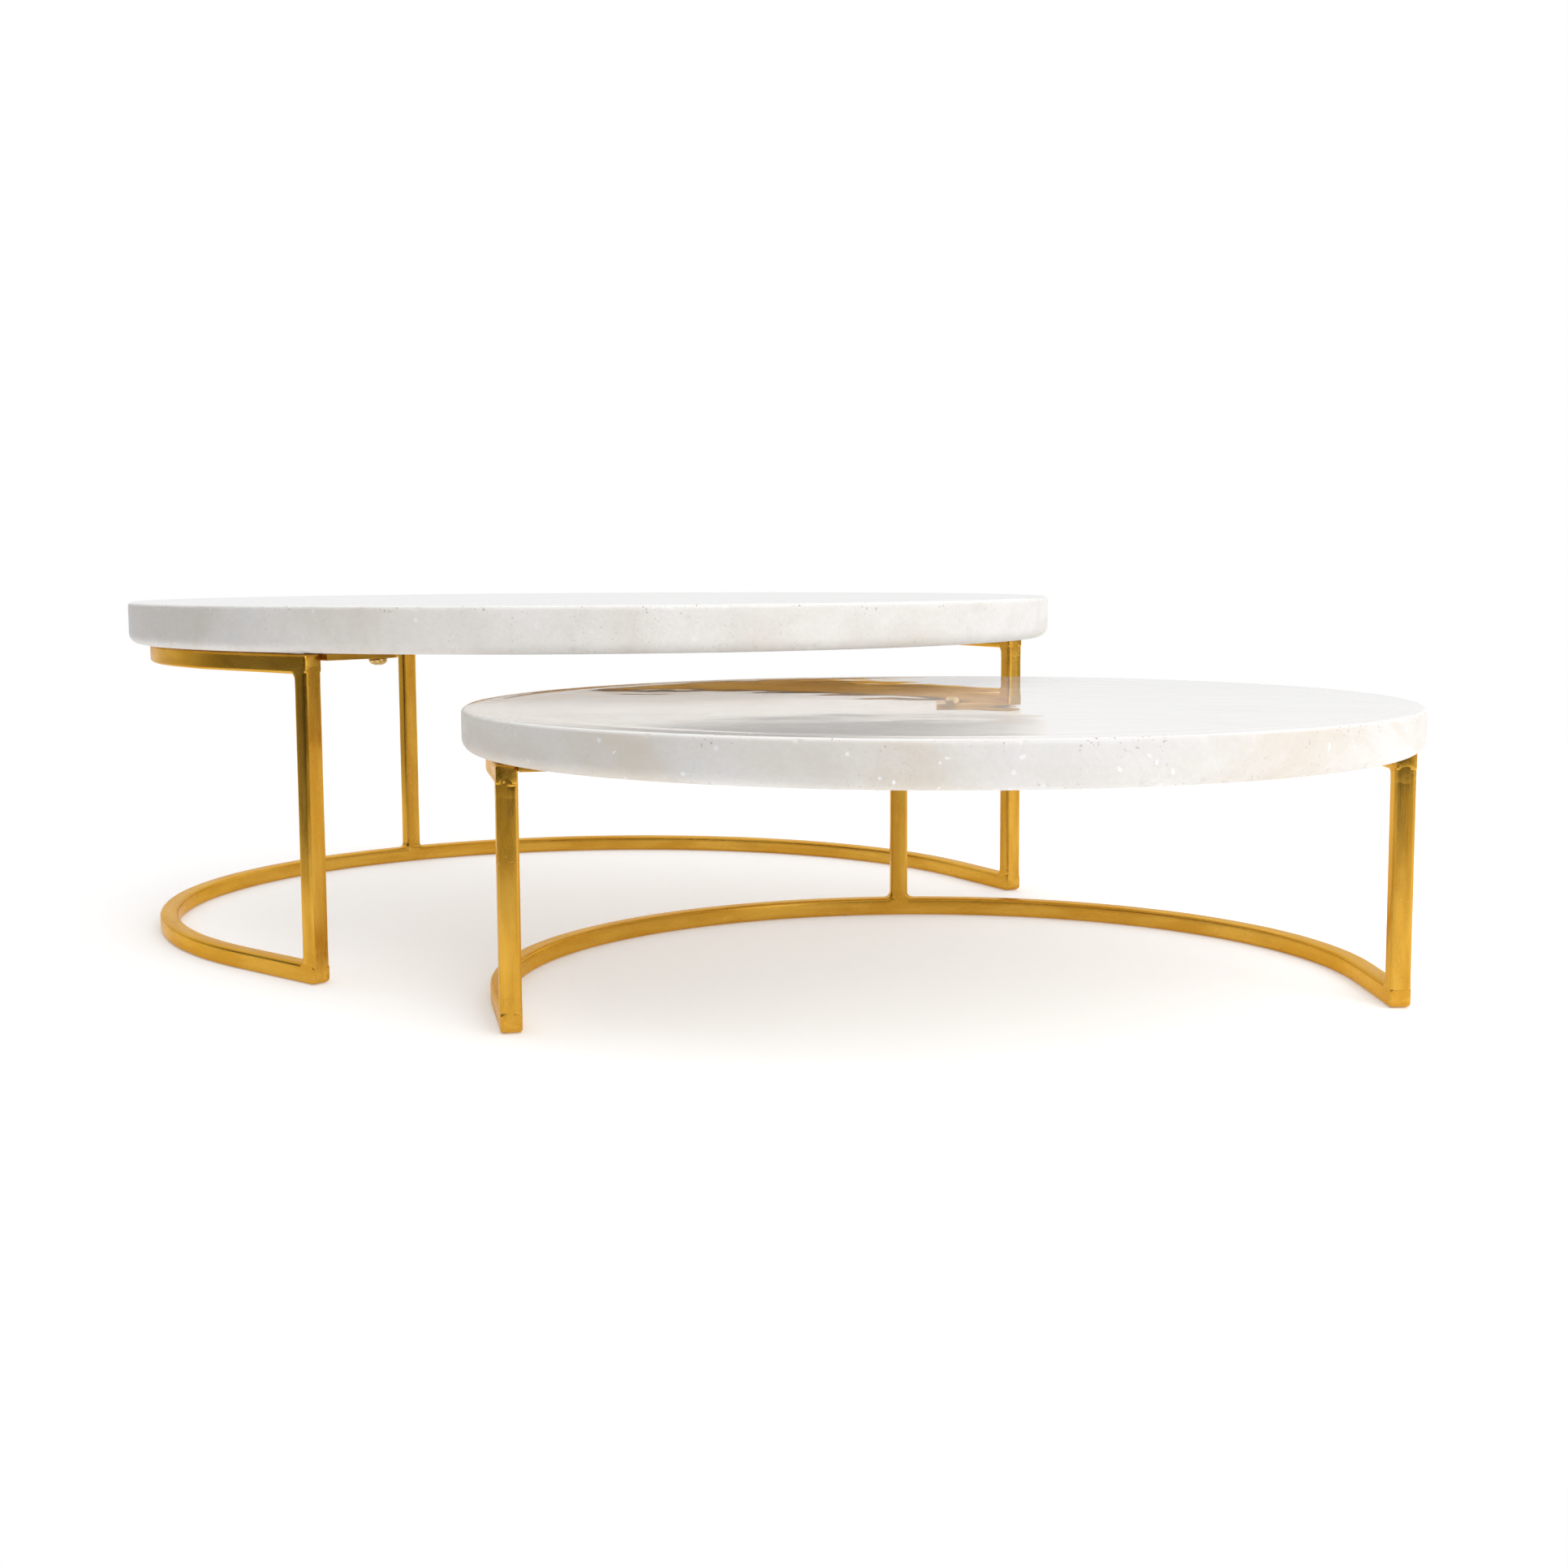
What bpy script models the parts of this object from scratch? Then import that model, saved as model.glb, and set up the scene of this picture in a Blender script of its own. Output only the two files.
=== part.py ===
"""Two round stone-topped nesting tables on open brass bar frames, the smaller one drawn part of the way out.

Metres, +Z up. +X is the way the small table slides out from under the large one. The origin is the
middle of the underside of the pair. Each table is a stone slab on a C-shaped upper ring, three square
legs and a C-shaped lower ring. Three tabs, each with a screw and a threaded insert, hold each slab.
"""

import math

import bmesh
import bpy

# Sizes, in metres and degrees
BAR = 0.0075  # side of the square bar of rings and legs
BAR_EDGE = 0.0008  # flat that eases each long corner of a bar
GAP = 0.0003  # clearance between pieces that touch or are welded
RING_INSET = 0.0083  # from the slab's side to the outside of a ring
PULL = 0.232  # from the large table's axis to the small table's
SMALL_TURN = -31.0  # way the small table's open side faces, from +X
NEST_SIDE = 0.0024  # from the small slab to the large end legs that it slides between
NEST_ABOVE = 0.0102  # from the small slab to the large upper ring that it slides under

LARGE_TOP = 0.406  # diameter
LARGE_SLAB = 0.0175
LARGE_HEIGHT = 0.1415
LARGE_ARC = 79.0  # where the ring stops curving, from the middle of its open side
LARGE_STRAIGHT = 0.048  # straight run from the end of the curve to the middle of the end leg
LARGE_BACK = 180.0  # where the back leg stands, from the middle of the open side

SMALL_SLAB = 0.015
SMALL_ARC = 84.0
SMALL_STRAIGHT = 0.040
SMALL_BACK = 175.5

TOP_EASE = 0.0018  # radius of the slab's upper edge
BOTTOM_EASE = 0.0050  # radius of the slab's lower edge
EASE_STEPS = 5
SLAB_STEPS = 96

TAB_WIDTH = 0.015
TAB_THICK = 0.0025
TAB_REACH = 0.0285  # from the ring's inner face to the screw
SHANK_R = 0.0019
HEAD_R = 0.0035
HEAD_HIGH = 0.0025
RECESS_LONG = 0.0038
RECESS_WIDE = 0.0008
RECESS_DEEP = 0.0012
INSERT_WALL = 0.0014
INSERT_HIGH = 0.008
SOCKET_SPARE = 0.001  # hole left above the insert
ROUND_STEPS = 24
ARC_STEP = 4.0  # largest turn between two ring sections, in degrees



def ring_radius(top):
    return top / 2 - RING_INSET - BAR / 2


def frame_top(height, thick):
    return height - thick - GAP


def end_leg(top, arc, straight):
    """Middle of the +Y end leg: off the end of the ring's curve, along the straight run."""
    side = math.radians(arc)
    radius = ring_radius(top)
    return (
        radius * math.cos(side) + straight * math.sin(side),
        radius * math.sin(side) - straight * math.cos(side),
    )


# The small slab fits between the large end legs and under the large upper ring
LEG_HALF = BAR / 2 * (math.sin(math.radians(LARGE_ARC)) + math.cos(math.radians(LARGE_ARC)))
PASSAGE = end_leg(LARGE_TOP, LARGE_ARC, LARGE_STRAIGHT)[1] - LEG_HALF
SMALL_TOP = 2 * (PASSAGE - NEST_SIDE)
SMALL_HEIGHT = frame_top(LARGE_HEIGHT, LARGE_SLAB) - BAR - NEST_ABOVE

SPAN = LARGE_TOP / 2 + PULL + SMALL_TOP / 2
LARGE_X = LARGE_TOP / 2 - SPAN / 2
SMALL_X = LARGE_X + PULL

for old in list(bpy.data.objects):
    bpy.data.objects.remove(old, do_unlink=True)

parts = bpy.data.collections.new("nesting_tables")
cutters = bpy.data.collections.new("cutters")
bpy.context.scene.collection.children.link(parts)
bpy.context.scene.collection.children.link(cutters)


def material(name, colour, metallic, roughness):
    made = bpy.data.materials.new(name)
    made.use_nodes = True
    shader = made.node_tree.nodes["Principled BSDF"]
    shader.inputs["Base Color"].default_value = (*colour, 1.0)
    shader.inputs["Metallic"].default_value = metallic
    shader.inputs["Roughness"].default_value = roughness
    return made


def place(obj, empty, collection=parts):
    collection.objects.link(obj)
    obj.parent = empty
    if collection is cutters:
        obj.hide_render = True
        obj.display_type = "WIRE"
    return obj


def mesh_object(name, mesh, look, empty, collection=parts):
    obj = bpy.data.objects.new(name, mesh)
    if look:
        mesh.materials.append(look)
    return place(obj, empty, collection)


def lathe(name, profile, steps, look, empty, collection=parts):
    """A solid of revolution about Z. The profile is (radius, height), from top to bottom."""
    mesh = bpy.data.meshes.new(name)
    edges = [(i, i + 1) for i in range(len(profile) - 1)]
    mesh.from_pydata([(r, 0.0, z) for r, z in profile], edges, [])
    obj = mesh_object(name, mesh, look, empty, collection)
    screw = obj.modifiers.new("turn", "SCREW")
    screw.axis = "Z"
    screw.steps = steps
    screw.render_steps = steps
    screw.use_merge_vertices = True
    screw.merge_threshold = 0.00001
    screw.use_smooth_shade = False
    return obj


def cut(obj, cutter):
    step = obj.modifiers.new("cut", "BOOLEAN")
    step.operation = "DIFFERENCE"
    step.solver = "EXACT"
    step.object = cutter


def box(name, size, look, empty, collection=parts):
    mesh = bpy.data.meshes.new(name)
    shape = bmesh.new()
    bmesh.ops.create_cube(shape, size=1.0)
    bmesh.ops.scale(shape, vec=size, verts=shape.verts)
    shape.to_mesh(mesh)
    shape.free()
    return mesh_object(name, mesh, look, empty, collection)


def quarter(centre_r, centre_z, radius, first, last, steps):
    """Points on an arc of a profile, from one angle to another, in degrees."""
    points = []
    for i in range(steps + 1):
        angle = math.radians(first + (last - first) * i / steps)
        points.append((centre_r + radius * math.cos(angle), centre_z + radius * math.sin(angle)))
    return points


def slab(name, radius, low, high, look, empty):
    profile = [(0.0, high)]
    profile += quarter(radius - TOP_EASE, high - TOP_EASE, TOP_EASE, 90, 0, EASE_STEPS)
    profile += quarter(radius - BOTTOM_EASE, low + BOTTOM_EASE, BOTTOM_EASE, 0, -90, EASE_STEPS)
    profile += [(0.0, low)]
    return lathe(name, profile, SLAB_STEPS, look, empty)


def ring_path(radius, arc, straight):
    """The middle line of a C: straight end, arc round the back, straight end."""
    turned = 360.0 - 2.0 * arc
    count = math.ceil(turned / ARC_STEP)
    points = []
    for i in range(count + 1):
        angle = math.radians(arc + turned * i / count)
        points.append((radius * math.cos(angle), radius * math.sin(angle)))
    run = straight + BAR / 2
    ahead = math.radians(arc - 90.0)
    first = (points[0][0] + run * math.cos(ahead), points[0][1] + run * math.sin(ahead))
    last = (first[0], -first[1])
    return [first] + points + [last]


def bar_section():
    half = BAR / 2
    near = half - BAR_EDGE
    corners = [(half, near), (near, half), (-near, half), (-half, near)]
    corners += [(-x, -y) for x, y in corners]
    corners.reverse()
    data = bpy.data.curves.new("bar_section", "CURVE")
    data.dimensions = "2D"
    spline = data.splines.new("POLY")
    spline.points.add(len(corners) - 1)
    for point, (x, y) in zip(spline.points, corners):
        point.co = (x, y, 0.0, 1.0)
    spline.use_cyclic_u = True
    return place(bpy.data.objects.new("bar_section", data), None, cutters)


def ring(name, path, middle, section, look, empty):
    data = bpy.data.curves.new(name, "CURVE")
    data.dimensions = "3D"
    data.twist_mode = "Z_UP"
    data.bevel_mode = "OBJECT"
    data.bevel_object = section
    data.use_fill_caps = True
    spline = data.splines.new("POLY")
    spline.points.add(len(path) - 1)
    for point, (x, y) in zip(spline.points, path):
        point.co = (x, y, middle, 1.0)
    data.materials.append(look)
    return place(bpy.data.objects.new(name, data), empty)


def leg(name, spot, turn, low, high, look, empty):
    obj = box(name, (BAR, BAR, high - low), look, empty)
    obj.location = (*spot, (low + high) / 2)
    obj.rotation_euler = (0.0, 0.0, turn)
    ease = obj.modifiers.new("ease", "BEVEL")
    ease.width = BAR_EDGE
    ease.segments = 1
    ease.limit_method = "WEIGHT"
    weights = obj.data.attributes.new("bevel_weight_edge", "FLOAT", "EDGE")
    for edge in obj.data.edges:
        a, b = (obj.data.vertices[i].co for i in edge.vertices)
        upright = abs(a.z - b.z) > (high - low) / 2
        weights.data[edge.index].value = 1.0 if upright else 0.0
    return obj


def tab(name, spot, inward, top, look, empty):
    """A flat tongue from the ring's inner face, round at its free end, with one screw hole there."""
    half = TAB_WIDTH / 2
    start = BAR / 2 + GAP * 2
    reach = BAR / 2 + TAB_REACH
    outline = [(start, half), (start, -half)]
    for i in range(ROUND_STEPS // 2 + 1):
        angle = math.radians(-90.0 + 180.0 * i / (ROUND_STEPS // 2))
        outline.append((reach + half * math.cos(angle), half * math.sin(angle)))
    hole = []
    for i in range(ROUND_STEPS):
        angle = math.radians(360.0 * i / ROUND_STEPS)
        hole.append((reach + (SHANK_R + GAP) * math.cos(angle), (SHANK_R + GAP) * math.sin(angle)))
    data = bpy.data.curves.new(name, "CURVE")
    data.dimensions = "2D"
    data.fill_mode = "BOTH"
    data.extrude = TAB_THICK / 2
    for loop in (outline, hole):
        spline = data.splines.new("POLY")
        spline.points.add(len(loop) - 1)
        for point, (x, y) in zip(spline.points, loop):
            point.co = (x, y, 0.0, 1.0)
        spline.use_cyclic_u = True
    data.materials.append(look)
    obj = place(bpy.data.objects.new(name, data), empty)
    obj.location = (*spot, top - TAB_THICK / 2)
    obj.rotation_euler = (0.0, 0.0, inward)
    return obj


def screw_piece(name, spot, turn, tab_low, tip, look, empty):
    """A pan-headed screw, head down, with a cross recess."""
    head = tab_low - GAP
    low = head - HEAD_HIGH
    round_r = HEAD_HIGH * 0.6
    profile = [(0.0, tip), (SHANK_R * 0.7, tip), (SHANK_R, tip - SHANK_R * 0.3)]
    profile += [(SHANK_R, head), (HEAD_R, head)]
    profile += quarter(HEAD_R - round_r, low + round_r, round_r, 0, -90, 4)
    profile += [(0.0, low)]
    obj = lathe(name, profile, ROUND_STEPS, look, empty)
    obj.location = (*spot, 0.0)
    obj.rotation_euler = (0.0, 0.0, turn)
    for extra, size in (
        ("across", (RECESS_LONG, RECESS_WIDE, RECESS_DEEP * 2)),
        ("along", (RECESS_WIDE, RECESS_LONG, RECESS_DEEP * 2)),
    ):
        slot = box(f"{name}_{extra}", size, None, empty, cutters)
        slot.location = (*spot, low)
        slot.rotation_euler = (0.0, 0.0, turn)
        cut(obj, slot)
    return obj


def insert_piece(name, spot, low, look, empty):
    inner = SHANK_R + GAP
    outer = inner + INSERT_WALL
    ease = INSERT_WALL * 0.3
    high = low + INSERT_HIGH
    profile = [(inner, high), (outer - ease, high), (outer, high - ease)]
    profile += [(outer, low), (inner, low), (inner, high)]
    obj = lathe(name, profile, ROUND_STEPS, look, empty)
    obj.location = (*spot, 0.0)
    return obj


def table(prefix, x, turn, top, thick, height, arc, straight, back, section):
    empty = bpy.data.objects.new(prefix, None)
    parts.objects.link(empty)
    empty.location = (x, 0.0, 0.0)
    empty.rotation_euler = (0.0, 0.0, math.radians(turn))

    stone = slab(
        f"{prefix}_stone_top",
        top / 2,
        height - thick,
        height,
        material(f"{prefix}_stone", (0.86, 0.85, 0.83), 0.0, 0.25),
        empty,
    )
    frame_high = frame_top(height, thick)
    radius = ring_radius(top)
    path = ring_path(radius, arc, straight)
    rings = (("lower_ring", BAR / 2), ("upper_ring", frame_high - BAR / 2))
    for name, middle in rings:
        look = material(f"{prefix}_{name}_brass", (0.72, 0.47, 0.13), 1.0, 0.3)
        ring(f"{prefix}_{name}", path, middle, section, look, empty)

    side = math.radians(arc)
    end = end_leg(top, arc, straight)
    behind = math.radians(back)
    places = (
        ("left", end, side),
        ("back", (radius * math.cos(behind), radius * math.sin(behind)), behind),
        ("right", (end[0], -end[1]), -side),
    )
    for where, spot, outward in places:
        look = material(f"{prefix}_{where}_leg_brass", (0.72, 0.47, 0.13), 1.0, 0.3)
        low = BAR + GAP
        leg(f"{prefix}_{where}_leg", spot, outward, low, frame_high - BAR - GAP, look, empty)

        look = material(f"{prefix}_{where}_tab_brass", (0.70, 0.45, 0.12), 1.0, 0.35)
        inward = outward + math.pi
        tab(f"{prefix}_{where}_tab", spot, inward, frame_high, look, empty)

        reach = BAR / 2 + TAB_REACH
        screw_spot = (spot[0] + reach * math.cos(inward), spot[1] + reach * math.sin(inward))
        look = material(f"{prefix}_{where}_screw_brass", (0.75, 0.52, 0.18), 1.0, 0.25)
        insert_low = height - thick + GAP
        tab_low = frame_high - TAB_THICK
        tip = insert_low + INSERT_HIGH - GAP
        screw_piece(f"{prefix}_{where}_screw", screw_spot, inward, tab_low, tip, look, empty)

        look = material(f"{prefix}_{where}_insert_brass", (0.70, 0.50, 0.20), 1.0, 0.4)
        insert_piece(f"{prefix}_{where}_insert", screw_spot, insert_low, look, empty)

        socket_r = SHANK_R + GAP + INSERT_WALL + GAP
        deep = GAP + INSERT_HIGH + SOCKET_SPARE
        under = 0.005
        name = f"{prefix}_{where}_socket"
        rim = [(0.0, deep), (socket_r, deep), (socket_r, -under), (0.0, -under)]
        socket = lathe(name, rim, ROUND_STEPS, None, empty, cutters)
        socket.location = (*screw_spot, height - thick)
        cut(stone, socket)


bar = bar_section()
table(
    "large",
    LARGE_X,
    0.0,
    LARGE_TOP,
    LARGE_SLAB,
    LARGE_HEIGHT,
    LARGE_ARC,
    LARGE_STRAIGHT,
    LARGE_BACK,
    bar,
)
table(
    "small",
    SMALL_X,
    SMALL_TURN,
    SMALL_TOP,
    SMALL_SLAB,
    SMALL_HEIGHT,
    SMALL_ARC,
    SMALL_STRAIGHT,
    SMALL_BACK,
    bar,
)
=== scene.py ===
"""The finished look of two nesting tables: round stone slabs on welded brass bar frames.

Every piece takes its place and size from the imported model. Metres, with +Z up. The small table slides out
along +X.
"""

import math

import bmesh
import bpy
import numpy as np
from mathutils import Matrix, Vector


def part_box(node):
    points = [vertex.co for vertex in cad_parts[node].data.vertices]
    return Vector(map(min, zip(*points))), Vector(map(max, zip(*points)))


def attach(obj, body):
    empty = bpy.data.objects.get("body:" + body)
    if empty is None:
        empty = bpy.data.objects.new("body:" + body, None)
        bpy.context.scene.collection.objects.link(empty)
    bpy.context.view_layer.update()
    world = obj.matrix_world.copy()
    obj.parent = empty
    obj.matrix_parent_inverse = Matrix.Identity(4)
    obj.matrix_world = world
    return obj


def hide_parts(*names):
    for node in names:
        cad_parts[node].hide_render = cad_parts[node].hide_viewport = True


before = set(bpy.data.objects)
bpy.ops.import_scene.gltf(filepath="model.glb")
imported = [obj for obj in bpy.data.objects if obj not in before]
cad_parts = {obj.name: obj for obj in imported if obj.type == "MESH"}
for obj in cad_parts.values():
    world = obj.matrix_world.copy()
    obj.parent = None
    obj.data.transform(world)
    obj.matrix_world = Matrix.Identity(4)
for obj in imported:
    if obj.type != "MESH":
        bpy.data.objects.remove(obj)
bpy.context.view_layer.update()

# Finish sizes, in metres
BAR_ROUND = 0.0014  # radius of a bar's long corners
END_ROUND = 0.0007  # radius of the edges round a bar's end
FOOT_ROUND = 0.0026  # radius of a lower ring's end where it meets the floor
TOP_EASE = 0.0017  # radius of a slab's upper edge
BOTTOM_EASE = 0.0046  # radius of its lower edge
EDGE_BAND = 0.010  # width of the finely divided band at a slab's edge
EDGE_COLUMNS = 1440  # round a slab's edge
FACE_COLUMNS = 360  # round its flat faces
TOP_ROWS = 56  # across its polished face
BOTTOM_ROWS = 12  # across its underside
TOP_WAVE = 0.00006  # height of the waves in a polished face
SIDE_WAVE = 0.00007  # depth of the waves in a slab's ground side
SIDE_GRAIN = 0.00003
SIDE_PITS = 0.00010
SOCKET_SPARE = 0.0004  # round a threaded insert
SINK = 0.0002  # how far a leg or a tab runs into the ring it is welded to
BAR_WEAR = 0.00004  # depth of the long dents in a bar
BAR_DENTS = 0.00002  # and of the short ones
FILLET = 0.0032  # reach of a weld in the corner between two bars
WELD_REACH = 0.0112  # from the middle of a joint to the end of its dressed weld
WELD_PROUD = 0.00002  # how far a weld stands out from the bars
WELD_FADE = 0.00028  # how far it has sunk into them at its end
WELD_NOTCH = 0.00016  # depth of the groove left beside a weld
WELD_PITS = 0.00010
WELD_GRID = 0.0004  # size of the grid a weld's surface is made on
TAB_EASE = 0.0004  # radius of a tab's edges
TAB_BORE = 0.62  # radius of a tab's hole, as a share of the screw head's
SHANK = 0.54  # radius of a screw's shank, as a share of its head's
HEAD_GAP = 0.0003  # between a screw's head and its tab
SLOT_TURN = 0.4  # how far a screw's recess is turned from the tab, in radians

TABLES = ("large", "small")
STONE_TONES = {"large": (0.95, 0.50), "small": (0.86, 0.75)}  # whiteness, strength of the beige clouds
LEGS = ("left", "back", "right")

# Studio. Directions as seen by the camera: to its right, and away from it
CAMERA_PLACE = (0.690, -0.492, 0.154)
CAMERA_HEADING = 2.4939  # radians round from +X
CAMERA_DOWN = 0.1053  # below level
CAMERA_ROLL = 0.0051
CAMERA_LENS = 46.69  # for a sensor 36 mm wide
RIGHT = (0.603, 0.797, 0.0)
AWAY = (-0.797, 0.603, 0.0)
UP = (0.0, 0.0, 1.0)
ROOM_DIM = 0.07
# A patch of the room: its middle, the cosines where it starts and where it is full, and its strength
ROOM_LIGHT = (
    (RIGHT, 0.20, 0.90, 0.32),
    (AWAY, -0.10, 0.80, 0.80),
    (UP, 0.20, 0.95, 0.56),
)
KEY_POWER = 8.8
FILL_POWER = 0.8
TOP_POWER = 6.0
# The floor reaches this far from the tables: to the camera's left and right, towards it and away
FLOOR_REACH = {"left": 0.46, "right": 1.0, "near": 0.52, "far": 0.9}
FLOOR_GLOW = 0.26
FLOOR_DROP = 0.0001  # below the lower rings


def lattice(x, y, z, seed):
    """A repeatable value from -1 to 1 for every whole-number point."""
    mixed = (x * 374761393 + y * 668265263 + z * 1440662683 + seed * 1274126177) & 0xFFFFFFFF
    mixed = ((mixed ^ (mixed >> 13)) * 1274126177) & 0xFFFFFFFF
    mixed ^= mixed >> 16
    return mixed / 0x7FFFFFFF - 1.0


def noise(points, size, seed=0):
    """Smooth noise from -1 to 1, with lumps about this size."""
    spread = np.asarray(points) / size
    base = np.floor(spread).astype(np.int64)
    part = spread - base
    ease = part * part * (3.0 - 2.0 * part)
    total = np.zeros(len(spread))
    for corner in range(8):
        step = np.array([corner & 1, corner >> 1 & 1, corner >> 2])
        weight = np.prod(np.where(step, ease, 1.0 - ease), axis=1)
        total += weight * lattice(*(base + step).T, seed)
    return total


def smoothstep(value, low, high):
    share = np.clip((value - low) / (high - low), 0.0, 1.0)
    return share * share * (3.0 - 2.0 * share)


def mesh_piece(name, points, faces, look):
    mesh = bpy.data.meshes.new(name)
    mesh.from_pydata(np.asarray(points).tolist(), [], faces)
    mesh.validate()
    mesh.shade_smooth()
    mesh.materials.append(look)
    piece = bpy.data.objects.new(name, mesh)
    bpy.context.scene.collection.objects.link(piece)
    return piece


def store(piece, name, values, kind="FLOAT"):
    """Keeps a value for every vertex, for the materials to read."""
    layer = piece.data.attributes.new(name, kind, "POINT")
    field = "vector" if kind == "FLOAT_VECTOR" else "value"
    layer.data.foreach_set(field, np.asarray(values, np.float32).ravel())


def finish_piece(piece, table, slot, *nodes):
    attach(piece, f"{table}_table")
    if nodes:
        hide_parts(*nodes)
    return piece


# ---------------------------------------------------------------- materials


class Look:
    """A Principled material and short ways to wire nodes into it."""

    def __init__(self, name):
        self.material = bpy.data.materials.new(name)
        self.material.use_nodes = True
        self.tree = self.material.node_tree
        self.shader = self.tree.nodes["Principled BSDF"]

    def link(self, value, socket):
        if isinstance(value, bpy.types.NodeSocket):
            self.tree.links.new(value, socket)
        else:
            socket.default_value = value

    def node(self, kind, inputs=(), **settings):
        made = self.tree.nodes.new(kind)
        for key, value in settings.items():
            setattr(made, key, value)
        for key, value in dict(inputs).items():
            self.link(value, made.inputs[key])
        return made

    def place(self):
        return self.node("ShaderNodeTexCoord").outputs["Object"]

    def attribute(self, name, output="Fac"):
        return self.node("ShaderNodeAttribute", attribute_name=name).outputs[output]

    def noise(self, where, scale, detail=3.0, roughness=0.55, distortion=0.0):
        inputs = {
            "Vector": where,
            "Scale": scale,
            "Detail": detail,
            "Roughness": roughness,
            "Distortion": distortion,
        }
        return self.node("ShaderNodeTexNoise", inputs).outputs["Fac"]

    def stretch(self, where, scale):
        inputs = {"Vector": where, "Scale": scale}
        return self.node("ShaderNodeMapping", inputs).outputs["Vector"]

    def range(self, value, low, high, to_low=0.0, to_high=1.0):
        inputs = {
            "Value": value,
            "From Min": low,
            "From Max": high,
            "To Min": to_low,
            "To Max": to_high,
        }
        return self.node("ShaderNodeMapRange", inputs, interpolation_type="SMOOTHSTEP").outputs["Result"]

    def math(self, operation, a, b=0.0):
        return self.node("ShaderNodeMath", {0: a, 1: b}, operation=operation).outputs["Value"]

    def mix(self, share, a, b):
        made = self.node("ShaderNodeMix", data_type="RGBA")
        for socket, value in ((0, share), (6, a), (7, b)):
            if isinstance(value, tuple):
                value = (*value, 1.0)
            self.link(value, made.inputs[socket])
        return made.outputs[2]

    def bump(self, height, strength, distance, normal=None):
        made = self.node("ShaderNodeBump", {"Height": height, "Strength": strength, "Distance": distance})
        if normal:
            self.link(normal, made.inputs["Normal"])
        return made.outputs["Normal"]

    def set(self, **values):
        for key, value in values.items():
            self.link(value, self.shader.inputs[key.replace("_", " ").title()])


def stone_look(name, shift, white, stained):
    """White crystalline stone: polished on top, honed on the side, where a few grains are painted white as
    glints.
    """
    look = Look(name)
    where = look.node("ShaderNodeVectorMath", {0: look.place(), 1: shift}, operation="ADD").outputs[0]
    honed = look.attribute("honed")

    cloud = look.range(look.noise(where, 22.0, 4.0, 0.6, 0.4), 0.50, 0.78)
    haze = look.range(look.noise(where, 55.0, 5.0, 0.65), 0.44, 0.80)
    stain = look.range(look.noise(look.stretch(where, (1.0, 1.0, 1.6)), 14.0, 5.0, 0.62, 0.8), 0.34, 0.68)
    clean = (white, 0.982 * white, 0.960 * white)
    colour = look.mix(look.math("MULTIPLY", cloud, 0.55), clean, tuple(0.86 * c for c in clean))
    colour = look.mix(look.math("MULTIPLY", haze, 0.35), colour, (0.800, 0.778, 0.745))
    stain_share = look.math("MULTIPLY", look.math("MULTIPLY", stain, stained), honed)
    colour = look.mix(stain_share, colour, (0.765, 0.690, 0.590))

    grains = look.node("ShaderNodeTexVoronoi", {"Vector": where, "Scale": 760.0, "Randomness": 1.0})
    pick = look.node("ShaderNodeSeparateColor", {0: grains.outputs["Color"]})
    grain_tone = look.range(pick.outputs[0], 0.0, 1.0, 0.0, 0.07)
    colour = look.mix(look.math("MULTIPLY", grain_tone, honed), colour, (0.55, 0.55, 0.55))
    # Painted glints: a few grains on the honed side get a white base colour that stands in for light caught
    # by their crystal faces; the same grains are also made smoother below.
    glint_grains = look.math("MULTIPLY", look.range(pick.outputs[1], 0.9925, 0.9965), honed)
    colour = look.mix(glint_grains, colour, (1.0, 1.0, 1.0))

    pit_noise = look.noise(where, 900.0, 2.0, 0.5)
    pit_zone = look.range(look.noise(where, 60.0, 2.0), 0.46, 0.62)
    pits = look.math("MULTIPLY", look.range(pit_noise, 0.64, 0.71), pit_zone)
    pits = look.math("MULTIPLY", pits, look.attribute("rim"))
    colour = look.mix(look.math("MULTIPLY", pits, 0.85), colour, (0.17, 0.13, 0.09))

    rough_side = look.range(look.noise(where, 240.0, 3.0), 0.3, 0.7, 0.42, 0.56)
    rough_side = look.math("SUBTRACT", rough_side, look.math("MULTIPLY", glint_grains, 0.35))
    smears = look.noise(look.stretch(where, (1.0, 2.6, 1.0)), 30.0, 4.0, 0.6, 0.6)
    smears = look.range(smears, 0.35, 0.75, 0.004, 0.022)
    rough = look.node("ShaderNodeMix", {0: honed, 2: smears, 3: rough_side}).outputs[0]

    relief = look.bump(look.noise(where, 700.0, 3.0, 0.6), look.math("MULTIPLY", honed, 0.16), 0.0003)
    relief = look.bump(grains.outputs["Distance"], look.math("MULTIPLY", honed, 0.10), 0.0004, relief)
    relief = look.bump(pits, 0.6, -0.0004, relief)
    look.set(base_color=colour, roughness=rough, normal=relief)
    look.shader.inputs["IOR"].default_value = 1.52
    look.shader.inputs["Subsurface Weight"].default_value = 0.12
    look.shader.inputs["Subsurface Radius"].default_value = (1.0, 0.92, 0.85)
    look.shader.inputs["Subsurface Scale"].default_value = 0.003
    return look.material


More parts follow.
